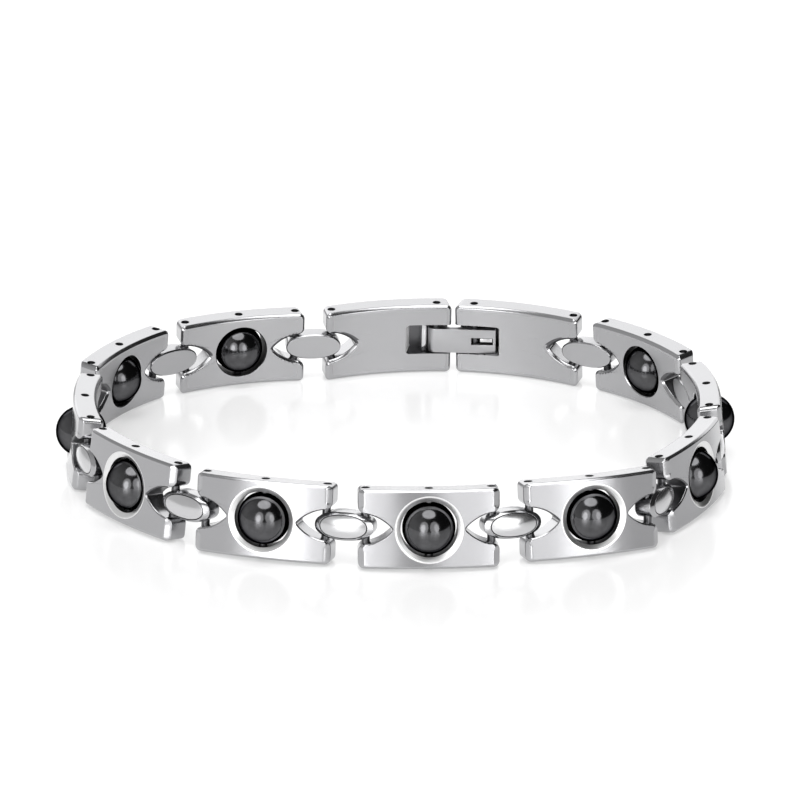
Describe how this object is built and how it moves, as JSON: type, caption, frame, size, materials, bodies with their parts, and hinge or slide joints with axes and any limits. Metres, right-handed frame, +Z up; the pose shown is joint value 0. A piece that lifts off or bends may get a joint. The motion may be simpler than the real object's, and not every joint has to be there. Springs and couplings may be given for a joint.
{
  "type": "magnetic bracelet",
  "caption": "Oval bracelet of curved steel plates that hold polished black magnetic balls, joined by oval connectors on upright pins, with a fold-in tongue clasp.",
  "frame": {"origin": "middle of the loop's box, on the surface that the bracelet stands on", "axes": "+Z up across the band, +X along the longer side of the oval, +Y towards the clasp at the back"},
  "size_m": [0.0762, 0.0658, 0.0089],
  "materials": {
    "plates": "polished outside, satin inside",
    "balls": "polished black magnetic stone",
    "connectors": "polished",
    "pins": "cut ends",
    "tongue": "satin",
    "springs": "bright spring steel"
  },
  "bodies": {
    "band": {"link_01": "plates", "link_02": "plates", "link_03": "plates", "link_04": "plates", "link_05": "plates", "link_06": "plates", "link_07": "plates", "link_08": "plates", "link_09": "plates", "link_10": "plates", "ball_01": "balls", "ball_02": "balls", "ball_03": "balls", "ball_04": "balls", "ball_05": "balls", "ball_06": "balls", "ball_07": "balls", "ball_08": "balls", "ball_09": "balls", "ball_10": "balls", "pins_01": "pins", "pins_02": "pins", "pins_03": "pins", "pins_04": "pins", "pins_05": "pins", "pins_06": "pins", "pins_07": "pins", "pins_08": "pins", "pins_09": "pins", "pins_10": "pins", "connector_01": "connectors", "connector_02": "connectors", "connector_03": "connectors", "connector_04": "connectors", "connector_05": "connectors", "connector_06": "connectors", "connector_07": "connectors", "connector_08": "connectors", "connector_09": "connectors", "connector_10": "connectors", "connector_11": "connectors", "hinge_link": "plates", "catch_link": "plates", "hinge_link_pins": "pins", "catch_link_pins": "pins", "hinge_spring": "springs"},
    "tongue": {"clasp_tongue": "tongue", "catch_spring": "springs"}
  },
  "joints": [
    {"name": "clasp_hinge", "type": "hinge", "parent": "band", "child": "tongue", "pos_m": [0.00436, 0.03101, 0.00436], "axis": [-0.0178, 0.0773, -0.9968], "range_deg": [0, 90]}
  ]
}
